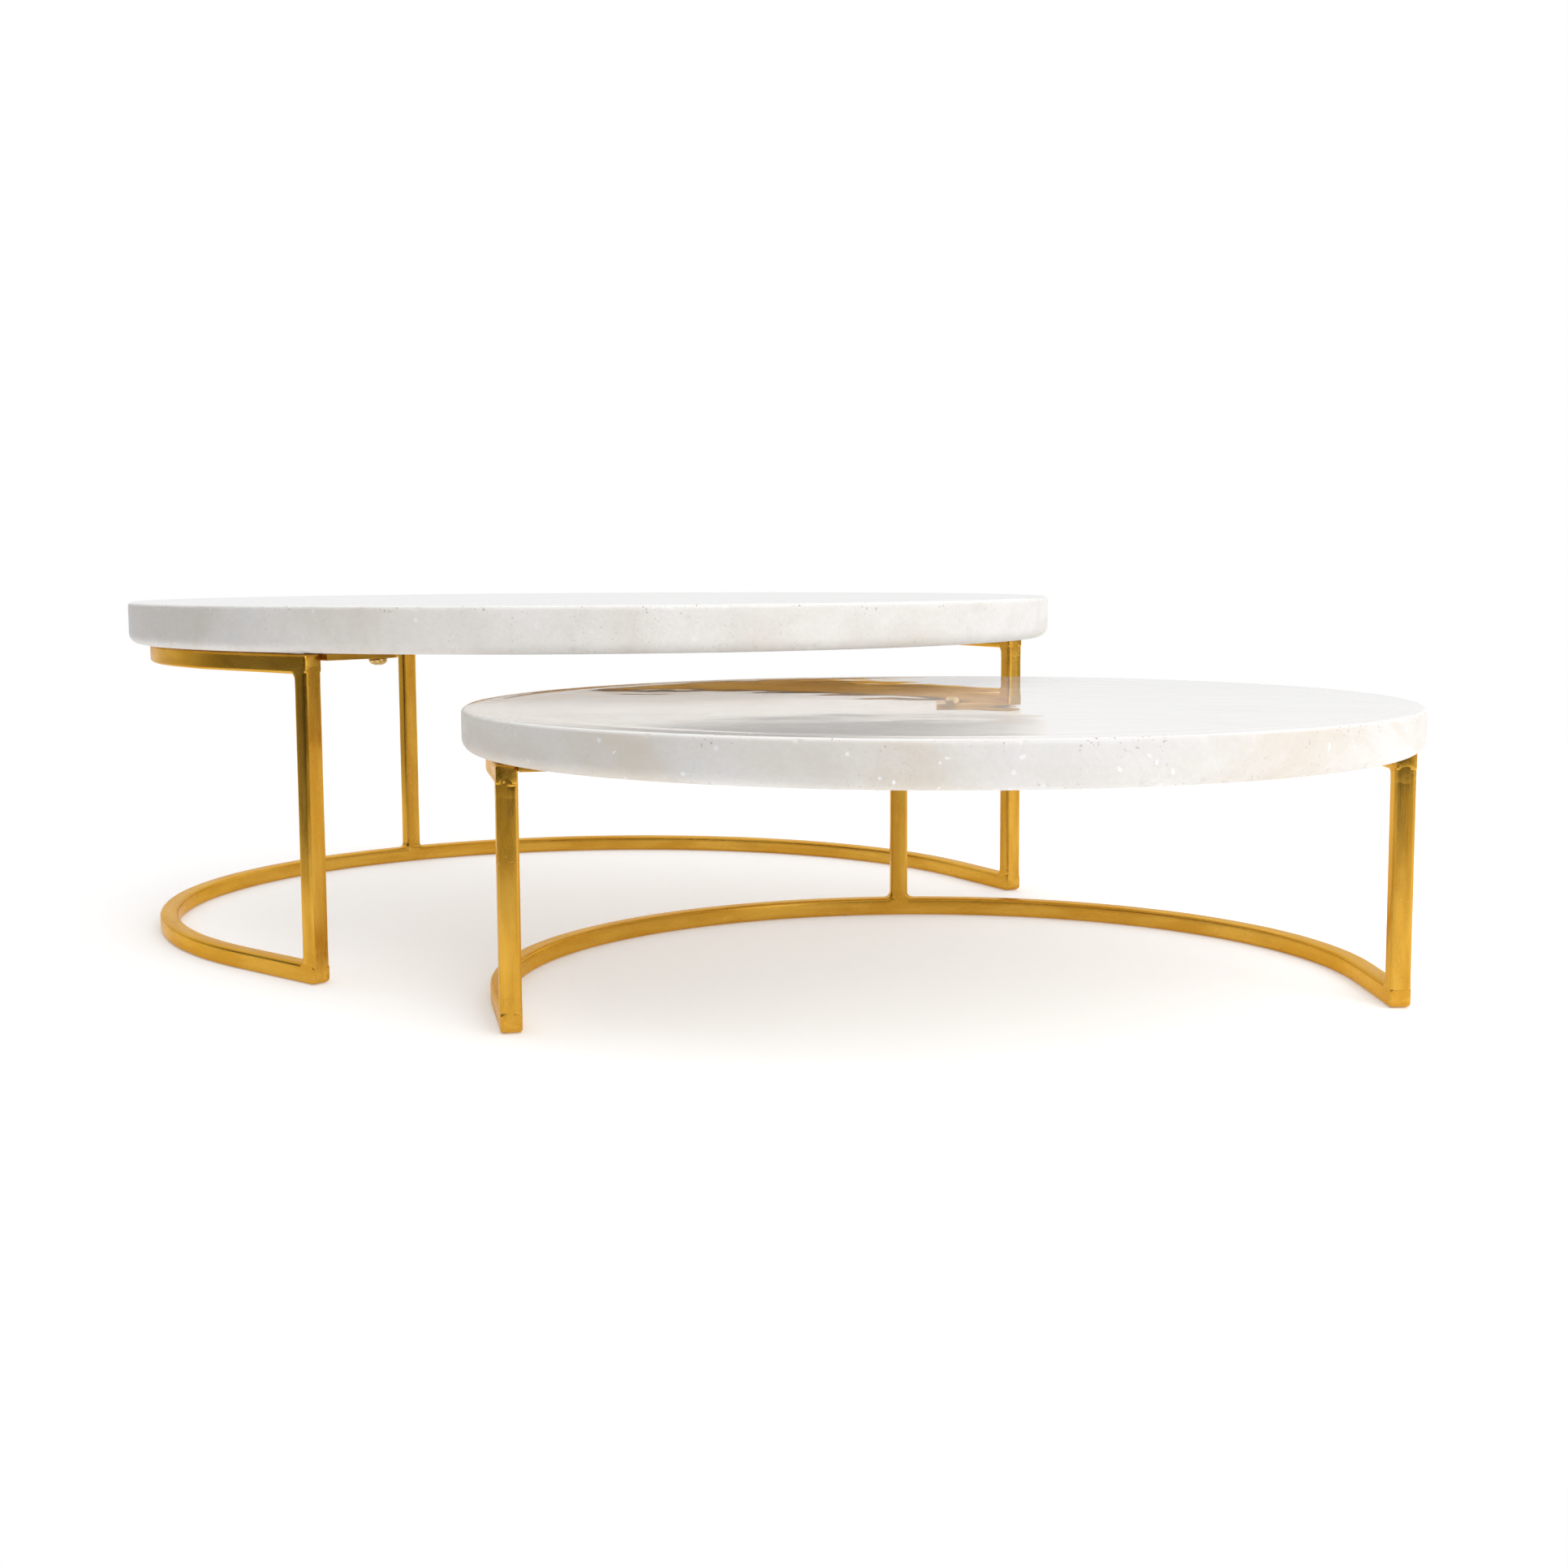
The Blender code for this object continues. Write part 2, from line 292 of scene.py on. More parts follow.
def brass_look(name, tone=1.0, rough=0.27):
    """Satin brass, brushed along the bar, scratched in places, browner where it was welded."""
    look = Look(name)
    grain = look.attribute("grain", "Vector")
    heat = look.attribute("heat")
    where = look.place()

    drawn = look.stretch(grain, (28.0, 160.0, 160.0))
    patches = look.range(look.noise(drawn, 1.0, 2.0, 0.5), 0.34, 0.68)
    fine = look.noise(look.stretch(grain, (60.0, 2200.0, 2200.0)), 1.0, 3.0, 0.6)
    bright = tuple(tone * c for c in (0.700, 0.390, 0.054))
    deep = tuple(tone * c for c in (0.620, 0.312, 0.032))
    colour = look.mix(patches, bright, deep)
    colour = look.mix(look.range(fine, 0.50, 0.80, 0.0, 0.07), colour, (0.84, 0.54, 0.12))
    turned = {"Vector": grain, "Angle": 0.55}
    slanted = look.node("ShaderNodeVectorRotate", turned, rotation_type="Y_AXIS").outputs[0]
    scratches = look.noise(look.stretch(slanted, (70.0, 1500.0, 2600.0)), 1.0, 1.0)
    scratches = look.range(scratches, 0.66, 0.72)
    scratches = look.math("MULTIPLY", scratches, look.range(look.noise(where, 26.0, 2.0), 0.52, 0.64))
    scratches = look.math("MULTIPLY", scratches, look.math("SUBTRACT", 1.0, heat))
    colour = look.mix(look.math("MULTIPLY", scratches, 0.45), colour, (0.90, 0.66, 0.26))
    scorch = look.math("MULTIPLY", heat, look.range(look.noise(where, 300.0, 3.0, 0.55), 0.40, 0.72))
    colour = look.mix(look.math("MULTIPLY", scorch, 0.35), colour, (0.470, 0.215, 0.032))
    specks = look.range(look.noise(where, 1100.0, 2.0, 0.5), 0.745, 0.780)
    speck_zone = look.range(look.noise(where, 70.0, 2.0), 0.50, 0.66)
    specks = look.math("MULTIPLY", specks, look.math("MAXIMUM", speck_zone, heat))
    colour = look.mix(look.math("MULTIPLY", specks, 0.80), colour, (0.12, 0.06, 0.02))

    roughness = look.range(look.noise(drawn, 1.6, 3.0, 0.5), 0.32, 0.70, rough - 0.04, rough + 0.05)
    roughness = look.math("ADD", roughness, look.range(fine, 0.35, 0.75, -0.02, 0.03))
    roughness = look.math("ADD", roughness, look.math("MULTIPLY", scorch, 0.08))

    relief = look.bump(fine, 0.05, 0.00006)
    relief = look.bump(look.noise(drawn, 0.8, 2.0, 0.5), 0.04, 0.0006, relief)
    relief = look.bump(look.noise(where, 700.0, 2.0, 0.6), look.math("MULTIPLY", heat, 0.05), 0.0001, relief)
    relief = look.bump(specks, 0.5, -0.0002, relief)
    relief = look.bump(scratches, 0.3, -0.0001, relief)
    look.set(base_color=colour, roughness=roughness, normal=relief)
    look.shader.inputs["Metallic"].default_value = 1.0
    look.shader.inputs["Specular Tint"].default_value = (1.0, 0.80, 0.45, 1.0)
    look.shader.inputs["Coat Weight"].default_value = 0.08
    look.shader.inputs["Coat Roughness"].default_value = 0.12
    return look.material


def turned_look(name, colour, rough):
    """Machined metal with fine turning rings."""
    look = Look(name)
    where = look.place()
    tone = look.range(look.noise(where, 900.0, 4.0, 0.6), 0.35, 0.70)
    shade = look.mix(tone, colour, tuple(0.72 * c for c in colour))
    roughness = look.range(look.noise(where, 1500.0, 3.0, 0.6), 0.3, 0.7, rough - 0.08, rough + 0.10)
    relief = look.bump(look.noise(look.stretch(where, (300.0, 300.0, 6000.0)), 1.0, 3.0), 0.15, 0.0001)
    look.set(base_color=shade, roughness=roughness, normal=relief)
    look.shader.inputs["Metallic"].default_value = 1.0
    return look.material


# ---------------------------------------------------------------- places


class Table:
    """Where one table's pieces stand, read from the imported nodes."""

    def __init__(self, name):
        self.name = name
        low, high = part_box(f"{name}_stone_top")
        self.centre = np.array([(low.x + high.x) / 2, (low.y + high.y) / 2])
        self.radius = (high.x - low.x) / 2
        self.slab_low, self.slab_high = low.z, high.z
        ring_low, ring_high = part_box(f"{name}_lower_ring")
        self.bar = ring_high.z - ring_low.z
        self.half = self.bar / 2
        self.ring_radius = self.centre[0] - ring_low.x - self.half
        self.upper_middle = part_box(f"{name}_upper_ring")[1].z - self.half
        self.spots = {leg: self.middle(f"{name}_{leg}_leg") for leg in LEGS}
        opening = (self.spots["left"] + self.spots["right"]) / 2 - self.centre
        self.turn = math.atan2(opening[1], opening[0])
        reach = self.spots["left"] - self.centre
        self.straight = math.sqrt(max(reach @ reach - self.ring_radius**2, 0.0))
        spread = math.atan2(reach[1], reach[0]) - self.turn
        self.arc = spread % (2 * math.pi) + math.atan2(self.straight, self.ring_radius)
        back = self.spots["back"] - self.centre
        self.outward = {
            "left": self.turn + self.arc,
            "back": math.atan2(back[1], back[0]),
            "right": self.turn - self.arc,
        }

    @staticmethod
    def middle(node):
        low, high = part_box(node)
        return np.array([(low.x + high.x) / 2, (low.y + high.y) / 2])

    def local(self, points):
        """Points in the table's own frame, its open side along +X."""
        moved = np.asarray(points)[:, :2] - self.centre
        c, s = math.cos(self.turn), math.sin(self.turn)
        return np.column_stack([moved @ (c, s), moved @ (-s, c)])

    def ring_place(self, points):
        """For each point: how far out of the ring's middle line, and how far along it from its back."""
        flat = self.local(points)
        side = np.sign(flat[:, 1]) + (flat[:, 1] == 0)
        folded = np.column_stack([flat[:, 0], np.abs(flat[:, 1])])
        angle = np.arctan2(folded[:, 1], folded[:, 0])
        c, s = math.cos(self.arc), math.sin(self.arc)
        ahead = folded @ (s, -c)
        out_straight = folded @ (c, s) - self.ring_radius
        out_curve = np.hypot(folded[:, 0], folded[:, 1]) - self.ring_radius
        on_straight = angle < self.arc
        out = np.where(on_straight, out_straight, out_curve)
        curve_length = self.ring_radius * (math.pi - self.arc)
        along = np.where(on_straight, curve_length + ahead, self.ring_radius * (math.pi - angle))
        return out, side * along

    def half_length(self):
        """Along the ring, from its back to either end."""
        return self.ring_radius * (math.pi - self.arc) + self.straight + self.half

    def ring_point(self, along):
        """Position and outward direction on the ring's middle line, this far from its back."""
        side = 1.0 if along >= 0 else -1.0
        curve_length = self.ring_radius * (math.pi - self.arc)
        angle = max(math.pi - abs(along) / self.ring_radius, self.arc)
        past = max(abs(along) - curve_length, 0.0)
        x = self.ring_radius * math.cos(angle) + past * math.sin(angle)
        y = self.ring_radius * math.sin(angle) - past * math.cos(angle)
        turn = Matrix.Rotation(self.turn, 2)
        point = turn @ Vector((x, side * y))
        out = turn @ Vector((math.cos(angle), side * math.sin(angle)))
        return self.centre + np.array(point), np.array(out)


# ---------------------------------------------------------------- stone


def arc_points(centre_r, centre_z, radius, first, last, steps):
    angles = np.radians(np.linspace(first, last, steps + 1))
    return [(centre_r + radius * math.cos(a), centre_z + radius * math.sin(a)) for a in angles]


def slab(table, look, seed):
    """A round slab with chipped, eased edges. Its ground side and polished face are a little wavy."""
    radius, low, high = table.radius, table.slab_low, table.slab_high
    face_edge = radius - EDGE_BAND
    rows = [(face_edge + 0.0010, low), (face_edge + 0.0030, low)]
    rows += arc_points(radius - BOTTOM_EASE, low + BOTTOM_EASE, BOTTOM_EASE, -90, 0, 12)
    rise = np.linspace(low + BOTTOM_EASE, high - TOP_EASE, 18)[1:-1]
    rows += [(radius, z) for z in rise]
    rows += arc_points(radius - TOP_EASE, high - TOP_EASE, TOP_EASE, 0, 90, 8)
    rows += [(face_edge + 0.0055, high), (face_edge + 0.0030, high), (face_edge + 0.0010, high)]
    rows = np.array(rows)
    along = np.gradient(rows, axis=0)
    normal = np.column_stack([along[:, 1], -along[:, 0]])
    normal /= np.linalg.norm(normal, axis=1)[:, None]

    angle = np.linspace(0.0, 2 * math.pi, EDGE_COLUMNS, endpoint=False)
    cos, sin = np.cos(angle), np.sin(angle)
    r = np.repeat(rows[:, :1], EDGE_COLUMNS, axis=1)
    z = np.repeat(rows[:, 1:], EDGE_COLUMNS, axis=1)
    place = np.column_stack([(r * cos).ravel(), (r * sin).ravel(), z.ravel()])
    on_side = np.repeat(np.abs(normal[:, 0]), EDGE_COLUMNS)
    depth = SIDE_WAVE * (1 + noise(place, 0.030, seed)) + SIDE_GRAIN * (1 + noise(place, 0.006, seed + 1))
    depth += SIDE_PITS * smoothstep(noise(place, 0.0022, seed + 2), 0.45, 0.95)
    depth *= 0.25 + 0.75 * on_side
    depth += chips(place, radius, high - 0.25 * TOP_EASE, 90, 0.0005, 0.0016, seed + 3)
    depth += chips(place, radius - 0.3 * BOTTOM_EASE, low + 0.3 * BOTTOM_EASE, 70, 0.0006, 0.0022, seed + 4)
    depth = depth.reshape(r.shape)
    r = r - depth * normal[:, :1]
    z = z - depth * normal[:, 1:]
    edge = np.column_stack([(r * cos).ravel(), (r * sin).ravel(), z.ravel()])

    step = EDGE_COLUMNS // FACE_COLUMNS
    flat_angle = angle[::step]
    faces = []
    points = [edge]
    count = len(edge)
    columns = np.arange(EDGE_COLUMNS)
    after = (columns + 1) % EDGE_COLUMNS
    for row in range(len(rows) - 1):
        a, b = row * EDGE_COLUMNS, (row + 1) * EDGE_COLUMNS
        faces += np.column_stack([a + columns, a + after, b + after, b + columns]).tolist()
    for height, last_row, flip in ((low, 0, True), (high, len(rows) - 1, False)):
        radii = np.linspace(0.003, face_edge, TOP_ROWS if height == high else BOTTOM_ROWS)
        disc = np.array([(q * math.cos(a), q * math.sin(a), height) for q in radii for a in flat_angle])
        disc = np.vstack([disc, [(0.0, 0.0, height)]])
        if height == high:
            wave = TOP_WAVE * (noise(disc, 0.024, seed + 5) + 0.35 * noise(disc, 0.0095, seed + 6))
            fade = 1.0 - smoothstep(np.hypot(disc[:, 0], disc[:, 1]), face_edge - 0.008, face_edge)
            disc[:, 2] += np.minimum(wave - 1.5 * TOP_WAVE, 0.0) * fade
        start = count
        points.append(disc)
        count += len(disc)
        for k in range(len(radii) - 1):
            for i in range(FACE_COLUMNS):
                j = (i + 1) % FACE_COLUMNS
                a, b = start + k * FACE_COLUMNS, start + (k + 1) * FACE_COLUMNS
                quad = [a + i, b + i, b + j, a + j]
                faces.append(quad[::-1] if flip else quad)
        outer = start + (len(radii) - 1) * FACE_COLUMNS
        centre = start + len(radii) * FACE_COLUMNS
        for i in range(FACE_COLUMNS):
            j = (i + 1) % FACE_COLUMNS
            rim = [last_row * EDGE_COLUMNS + (i * step + k) % EDGE_COLUMNS for k in range(step + 1)]
            bridge = [outer + i, *rim, outer + j]
            faces.append(bridge[::-1] if flip else bridge)
            fan = [centre, start + i, start + j]
            faces.append(fan[::-1] if flip else fan)
    points = np.vstack(points)
    points[:, :2] += table.centre
    piece = mesh_piece(f"{table.name}_slab", points, faces, look)
    sockets(piece, table)
    marks(piece, table)
    return finish_piece(piece, table.name, f"{table.name}_stone", f"{table.name}_stone_top")


def chips(place, radius, height, count, smallest, largest, seed):
    """Depth of small broken spots scattered along an edge."""
    random = np.random.default_rng(seed)
    depth = np.zeros(len(place))
    for _ in range(count):
        turn = random.uniform(0, 2 * math.pi)
        size = smallest + (largest - smallest) * random.uniform() ** 3
        spot = np.array([radius * math.cos(turn), radius * math.sin(turn), height + random.normal(0, 0.0003)])
        near = np.linalg.norm(place - spot, axis=1)
        depth = np.maximum(depth, 0.28 * size * (1.0 - smoothstep(near, 0.35 * size, size)))
    return depth


def sockets(piece, table):
    """Blind holes in the underside for the threaded inserts."""
    for leg in LEGS:
        low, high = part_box(f"{table.name}_{leg}_insert")
        deep = high.z - table.slab_low + SOCKET_SPARE
        shape = bmesh.new()
        size = (high.x - low.x) / 2 + SOCKET_SPARE
        bmesh.ops.create_cone(
            shape, cap_ends=True, segments=64, radius1=size, radius2=size, depth=deep * 2
        )
        mesh = bpy.data.meshes.new("socket")
        shape.to_mesh(mesh)
        shape.free()
        cutter = bpy.data.objects.new("socket", mesh)
        cutter.location = ((low.x + high.x) / 2, (low.y + high.y) / 2, table.slab_low)
        bpy.context.scene.collection.objects.link(cutter)
        cut = piece.modifiers.new("socket", "BOOLEAN")
        cut.solver = "MANIFOLD"
        cut.object = cutter
        apply_modifiers(piece)
        bpy.data.objects.remove(cutter)


def apply_modifiers(piece):
    graph = bpy.context.evaluated_depsgraph_get()
    made = bpy.data.meshes.new_from_object(piece.evaluated_get(graph), depsgraph=graph)
    old = piece.data
    piece.modifiers.clear()
    piece.data = made
    made.name = piece.name
    bpy.data.meshes.remove(old)


def coordinates(mesh):
    points = np.empty(len(mesh.vertices) * 3, np.float32)
    mesh.vertices.foreach_get("co", points)
    return points.reshape(-1, 3).astype(float)


def marks(piece, table):
    """How honed each point is, and how near a rim, where the pits are."""
    points = coordinates(piece.data)
    from_axis = np.linalg.norm(points[:, :2] - table.centre, axis=1)
    polished = smoothstep(points[:, 2], table.slab_high - 0.6 * TOP_EASE, table.slab_high - 0.1 * TOP_EASE)
    store(piece, "honed", 1.0 - polished)
    inset = table.radius - from_axis
    rim = np.exp(-((table.slab_high - points[:, 2]) / 0.0035))
    rim *= np.exp(-np.maximum(inset - 0.002, 0.0) / 0.004)
    low_rim = np.exp(-((points[:, 2] - table.slab_low) / 0.003)) * 0.7
    body = np.full(len(points), 0.22) * (1.0 - polished)
    store(piece, "rim", np.clip(np.maximum(rim, np.maximum(low_rim, body)), 0.0, 1.0))


# ---------------------------------------------------------------- bars


def bar_section(half):
    """Points round a square section with rounded corners."""
    points = []
    flat = half - BAR_ROUND
    for corner, (sx, sy) in enumerate(((1, 1), (-1, 1), (-1, -1), (1, -1))):
        for k in range(6):
            angle = math.radians(90.0 * corner + 90.0 * k / 5)
            points.append((sx * flat + BAR_ROUND * math.cos(angle), sy * flat + BAR_ROUND * math.sin(angle)))
        if corner in (0, 2):
            points += [(sx * share * flat, sy * half) for share in (0.35, -0.35)]
        else:
            points += [(sx * half, sy * share * flat) for share in (0.35, -0.35)]
    return np.array(points)


def sweep(name, table, stations, look, seed, foot=0.0):
    """A bar through stations of (middle, side, up, length along), round-ended and rounder below by foot."""
    half = table.half
    section = bar_section(half)
    middles = np.array([s[0] for s in stations])
    sides = np.array([s[1] for s in stations])
    ups = np.array([s[2] for s in stations])
    lengths = np.array([s[3] for s in stations])
    ahead = np.gradient(middles, axis=0)
    ahead /= np.linalg.norm(ahead, axis=1)[:, None]
    to_end = np.minimum(lengths - lengths[0], lengths[-1] - lengths)
    inset = END_ROUND - np.sqrt(np.maximum(END_ROUND**2 - np.maximum(END_ROUND - to_end, 0.0) ** 2, 0.0))
    scale = 1.0 - inset / half
    u = scale[:, None] * section[:, 0]
    v = scale[:, None] * section[:, 1]
    points = middles[:, None] + u[:, :, None] * sides[:, None] + v[:, :, None] * ups[:, None]
    if foot:
        below = np.clip((-half + foot - v) / foot, 0.0, 1.0)
        back = foot * (1.0 - np.sqrt(1.0 - below**2)) * (1.0 - smoothstep(to_end, 0.0, 0.006))[:, None]
        direction = np.where(lengths < (lengths[0] + lengths[-1]) / 2, 1.0, -1.0)
        points += (back * direction[:, None])[:, :, None] * ahead[:, None]
    grain = np.stack([np.repeat(lengths[:, None], len(section), axis=1), u, v], axis=2).reshape(-1, 3)
    worn = BAR_WEAR * (1 + noise(grain, 0.011, seed)) + BAR_DENTS * (1 + noise(grain, 0.0035, seed + 1))
    outward = (u[:, :, None] * sides[:, None] + v[:, :, None] * ups[:, None]).reshape(-1, 3)
    outward /= np.linalg.norm(outward, axis=1)[:, None]
    points = points.reshape(-1, 3) - outward * worn[:, None]

    count = len(section)
    faces = []
    for row in range(len(stations) - 1):
        for i in range(count):
            j = (i + 1) % count
            a, b = row * count, (row + 1) * count
            faces.append([a + i, a + j, b + j, b + i])
    last = (len(stations) - 1) * count
    faces.append(list(range(count))[::-1])
    faces.append([last + i for i in range(count)])
    piece = mesh_piece(name, points, faces, look)
    outwards(piece)
    store(piece, "grain", grain, "FLOAT_VECTOR")
    return piece


def outwards(piece):
    """Turns every face outward."""
    shape = bmesh.new()
    shape.from_mesh(piece.data)
    bmesh.ops.recalc_face_normals(shape, faces=shape.faces)
    shape.to_mesh(piece.data)
    shape.free()


def warm(piece, table):
    """Marks how near each point is to a welded joint."""
    points = coordinates(piece.data)
    heat = np.zeros(len(points))
    for leg in LEGS:
        for z in (table.bar, table.upper_middle - table.half):
            joint = np.array([*table.spots[leg], z])
            near = np.linalg.norm((points - joint) * (1.0, 1.0, 0.8), axis=1)
            heat = np.maximum(heat, 1.0 - smoothstep(near, 0.005, 0.016))
    store(piece, "heat", heat)


def ring(table, level, middle, look, seed):
    """A C of bar at this height, finely divided near its ends."""
    end = table.half_length()
    close = [0.0, 0.1, 0.2, 0.35, 0.5, 0.7, 1.0, 1.6, 2.4, 3.4, 4.6, 6.0, 8.0]
    ends = [end - d / 1000.0 for d in close]
    count = round(2 * (end - 0.008) / 0.0025)
    inner = np.linspace(-(end - 0.008), end - 0.008, count + 1)[1:-1]
    alongs = sorted([-e for e in ends] + list(inner) + ends)
    stations = []
    for along in alongs:
        point, out = table.ring_point(along)
        stations.append(((*point, middle), (*out, 0.0), (0.0, 0.0, 1.0), along))
    name = f"{table.name}_{level}_ring"
    piece = sweep(f"{name}_bar", table, stations, look, seed, FOOT_ROUND if level == "lower" else 0.0)
    warm(piece, table)
    return finish_piece(piece, table.name, f"{table.name}_frame_brass", name)


def leg(table, where, look, seed):
    """An upright between the two rings."""
    low = table.bar - SINK
    high = table.upper_middle - table.half + SINK
    outward = table.outward[where]
    out = (math.cos(outward), math.sin(outward), 0.0)
    beside = (-math.sin(outward), math.cos(outward), 0.0)
    count = round((high - low) / 0.002)
    stations = [((*table.spots[where], z), out, beside, z) for z in np.linspace(low, high, count + 1)]
    name = f"{table.name}_{where}_leg"
    piece = sweep(f"{name}_bar", table, stations, look, seed)
    warm(piece, table)
    return finish_piece(piece, table.name, f"{table.name}_frame_brass", name)


# ---------------------------------------------------------------- welds


def eased(a, b, edge):
    """Distance from what lies inside both, with a rounded corner between them."""
    outside = np.hypot(np.maximum(a + edge, 0.0), np.maximum(b + edge, 0.0))
    return outside + np.minimum(np.maximum(a, b) + edge, 0.0) - edge


def blended(a, b, reach):
    """The nearer of two distances, filled in where they are close to equal."""
    share = np.maximum(reach - np.abs(a - b), 0.0) / reach
    return np.minimum(a, b) - share * share * reach / 4.0


def weld_distance(points, table, where, level, seed):
    """Distance from the dressed weld that joins a leg to a ring."""
    half = table.half
    ring_z = half if level == "lower" else table.upper_middle
    up = 1.0 if level == "lower" else -1.0
    above = up * (points[:, 2] - ring_z)
    out, along = table.ring_place(points)
    outward = table.outward[where]
    moved = points[:, :2] - table.spots[where]
    p = moved @ (math.cos(outward), math.sin(outward))
    q = moved @ (-math.sin(outward), math.cos(outward))
    past = np.abs(along) - table.half_length() + 0.0001
    corner = FOOT_ROUND if level == "lower" else END_ROUND
    beyond = np.hypot(np.maximum(past + corner, 0.0), np.maximum(corner - half - above, 0.0)) - corner
    ring_part = np.maximum(np.abs(above) - half, np.maximum(past, beyond))
    leg_part = np.maximum(np.abs(q) - half, -above)
    inner = {"left": q, "right": -q, "back": half + np.abs(q)}[where]
    reach = FILLET * (1.0 + 0.35 * noise(points, 0.004, seed)) * smoothstep(inner, 0.0, half) + 0.00001
    profile = blended(ring_part, leg_part, reach)
    on_leg = smoothstep(above, half, half + 0.002)
    across = np.abs(out * (1.0 - on_leg) + p * on_leg) - half
    made = eased(profile, across, BAR_ROUND)
    lumps = 0.00002 * noise(points, 0.0036, seed + 1) + 0.000007 * noise(points, 0.0016, seed + 2)
    made -= WELD_PROUD + lumps
    seam = above - half - 0.0005 * noise(points, 0.003, seed + 3)
    notch = np.exp(-((seam / 0.00042) ** 2)) * smoothstep(noise(points, 0.0030, seed + 4), 0.10, 0.55)
    made += WELD_NOTCH * notch
    pits = smoothstep(noise(points, 0.0011, seed + 5), 0.50, 0.85) * np.exp(-((seam / 0.0016) ** 2))
    made += WELD_PITS * pits
    joint = np.array([*table.spots[where], ring_z + up * half])
    away = np.linalg.norm(points - joint, axis=1)
    made += WELD_FADE * smoothstep(away, 0.0030, WELD_REACH)
    return np.maximum(made, away - WELD_REACH)


def settle(points, distance, rounds=4, limit=0.0006):
    """Moves points onto the surface where the distance is nought."""
    tiny = 0.00005
    for _ in range(rounds):
        here = distance(points)
        slope = np.column_stack([distance(points + tiny * axis) - here for axis in np.eye(3)]) / tiny
        size = np.maximum((slope**2).sum(axis=1), 0.05)
        points = points - slope * np.clip(here / size, -limit, limit)[:, None]
    return points


def box_into(shape, middle, sides, half_sizes):
    made = bmesh.ops.create_cube(shape, size=2.0)
    matrix = Matrix.Identity(4)
    for k in range(3):
        for row in range(3):
            matrix[row][k] = sides[k][row] * half_sizes[k]
        matrix[k][3] = middle[k]
    bmesh.ops.transform(shape, matrix=matrix, verts=made["verts"])


def weld(table, where, level, look, seed):
    """A dressed weld, made on a fine grid and settled onto its surface."""
    half = table.half
    ring_z = half if level == "lower" else table.upper_middle
    up = 1.0 if level == "lower" else -1.0
    spot = table.spots[where]
    outward = table.outward[where]
    out = (math.cos(outward), math.sin(outward), 0.0)
    beside = (-math.sin(outward), math.cos(outward), 0.0)
    axes = (out, beside, (0.0, 0.0, 1.0))
    grown = half + 0.0002
    first = -half if where == "left" else -WELD_REACH
    last = half if where == "right" else WELD_REACH
    arm = (*(spot + (first + last) / 2 * np.array(beside[:2])), ring_z)
    shape = bmesh.new()
    box_into(shape, arm, axes, (grown, (last - first) / 2, grown))
    box_into(shape, (*spot, ring_z + up * WELD_REACH * 0.7), axes, (grown, grown, WELD_REACH * 0.7))
    mesh = bpy.data.meshes.new("weld")
    shape.to_mesh(mesh)
    shape.free()
    name = f"{table.name}_{where}_{level}_weld"
    piece = bpy.data.objects.new(name, mesh)
    bpy.context.scene.collection.objects.link(piece)
    remesh = piece.modifiers.new("grid", "REMESH")
    remesh.mode = "VOXEL"
    remesh.voxel_size = WELD_GRID
    remesh.use_smooth_shade = True
    apply_modifiers(piece)
    piece.data.materials.append(look)

    def distance(points):
        return weld_distance(points, table, where, level, seed)

    points = settle(coordinates(piece.data), distance)
    points[:, 2] = np.clip(points[:, 2], 0.00005, table.upper_middle + half - 0.00005)
    piece.data.vertices.foreach_set("co", points.astype(np.float32).ravel())
    piece.data.update()
    aside, along = table.ring_place(points)
    height = points[:, 2] - ring_z
    moved = points[:, :2] - spot
    p, q = moved @ out[:2], moved @ beside[:2]
    outer = {"left": -q, "right": q, "back": np.full_like(q, -half)}[where]
    on_leg = ((up * height > half) | (outer > half - END_ROUND))[:, None]
    leg_grain = np.column_stack([points[:, 2], p, q])
    grain = np.where(on_leg, leg_grain, np.column_stack([along, aside, height]))
    store(piece, "grain", grain, "FLOAT_VECTOR")
    warm(piece, table)
    return finish_piece(piece, table.name, f"{table.name}_frame_brass")


# ---------------------------------------------------------------- tabs and screws


